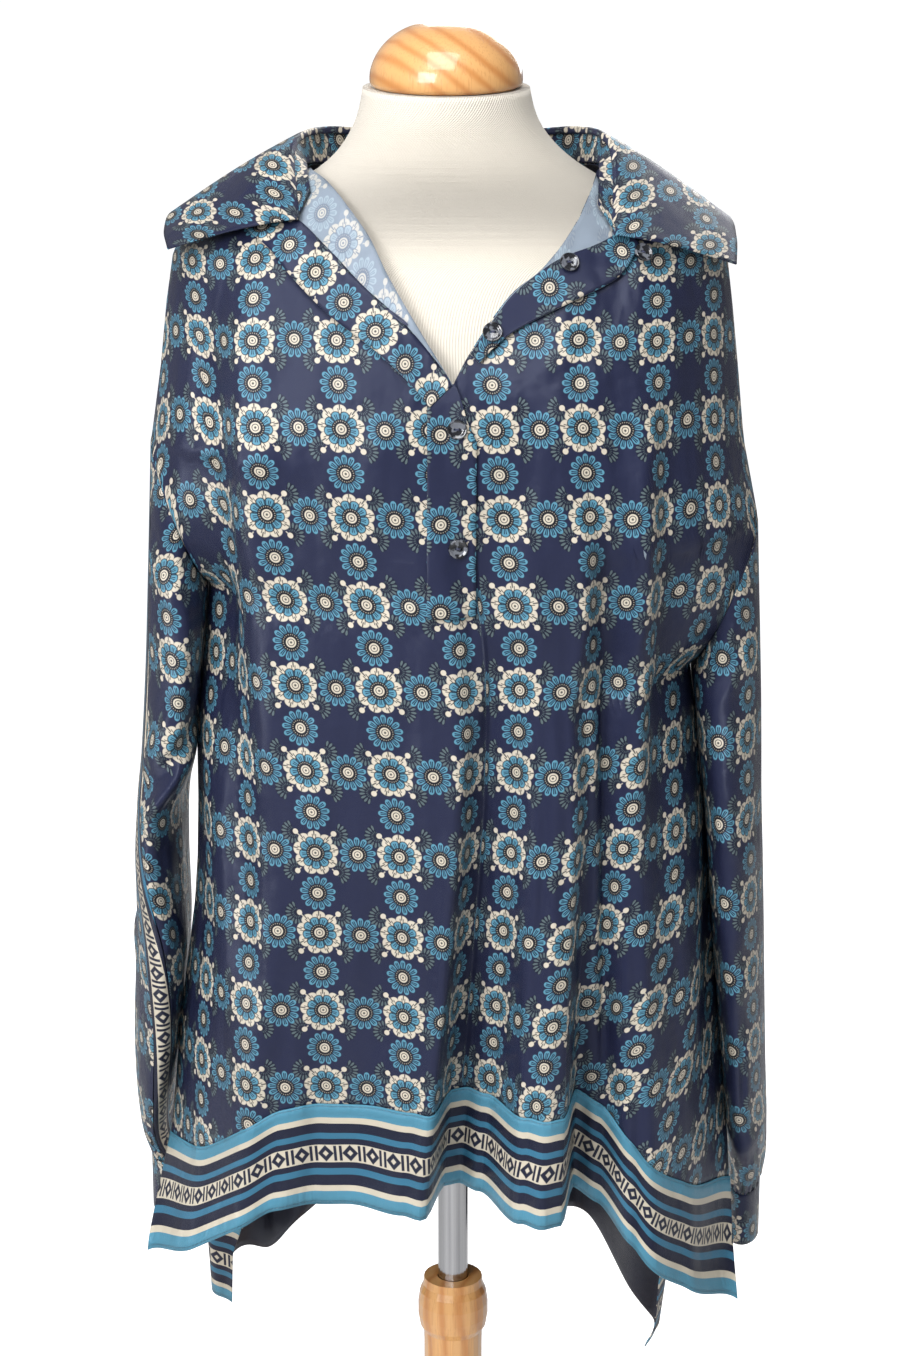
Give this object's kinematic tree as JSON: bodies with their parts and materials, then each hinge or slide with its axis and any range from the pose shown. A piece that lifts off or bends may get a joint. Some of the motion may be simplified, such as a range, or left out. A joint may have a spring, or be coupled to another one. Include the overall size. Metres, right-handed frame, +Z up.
{
  "type": "long-sleeve blouse on a limbless dress form with its stand",
  "caption": "Loose satin pullover blouse with an open half placket, shirt collar and striped hem bands, worn by a limbless dress form on a pole stand.",
  "frame": {"origin": "on the floor, at the middle of the base's underside", "axes": "+Z up along the pole, -Y the way the blouse's front faces, +X to the right of someone facing the front"},
  "size_m": [0.4668, 0.34, 1.5486],
  "materials": {
    "print_satin": "printed satin, navy ground",
    "band_satin": "striped satin, blue, navy and cream",
    "facing_satin": "wrong side of the printed satin",
    "button_resin": "glossy clear resin",
    "form_jersey": "cream rib-knit cover",
    "pine": "varnished",
    "steel": "polished"
  },
  "bodies": {
    "stand": {"base": "pine", "post": "pine"},
    "pole": {"pole": "steel"},
    "form": {"neck_cap": "pine", "form_torso": "form_jersey", "front": "print_satin", "back": "print_satin", "front_hem_band": "band_satin", "back_hem_band": "band_satin", "sleeve_left_upper": "print_satin", "sleeve_left_lower": "print_satin", "sleeve_right_upper": "print_satin", "sleeve_right_lower": "print_satin", "sleeve_strip_left_upper": "band_satin", "sleeve_strip_left_middle": "band_satin", "sleeve_strip_left_lower": "band_satin", "sleeve_strip_right_upper": "band_satin", "sleeve_strip_right_middle": "band_satin", "sleeve_strip_right_lower": "band_satin", "cuff_left": "print_satin", "cuff_right": "print_satin", "collar_stand": "print_satin", "collar_fall": "print_satin", "lapel_left": "facing_satin", "lapel_right": "facing_satin", "placket": "print_satin", "button_placket_top": "button_resin", "button_placket_foot": "button_resin", "button_lapel_top": "button_resin", "button_lapel_foot": "button_resin", "button_stand": "button_resin"}
  },
  "joints": [
    {"name": "height", "type": "slide", "parent": "stand", "child": "pole", "axis": [0, 0, 1], "range_m": [-0.08, 0.15]},
    {"name": "turn", "type": "hinge", "parent": "pole", "child": "form", "pos_m": [0, 0, 0.85], "axis": [0, 0, 1], "continuous": true}
  ]
}
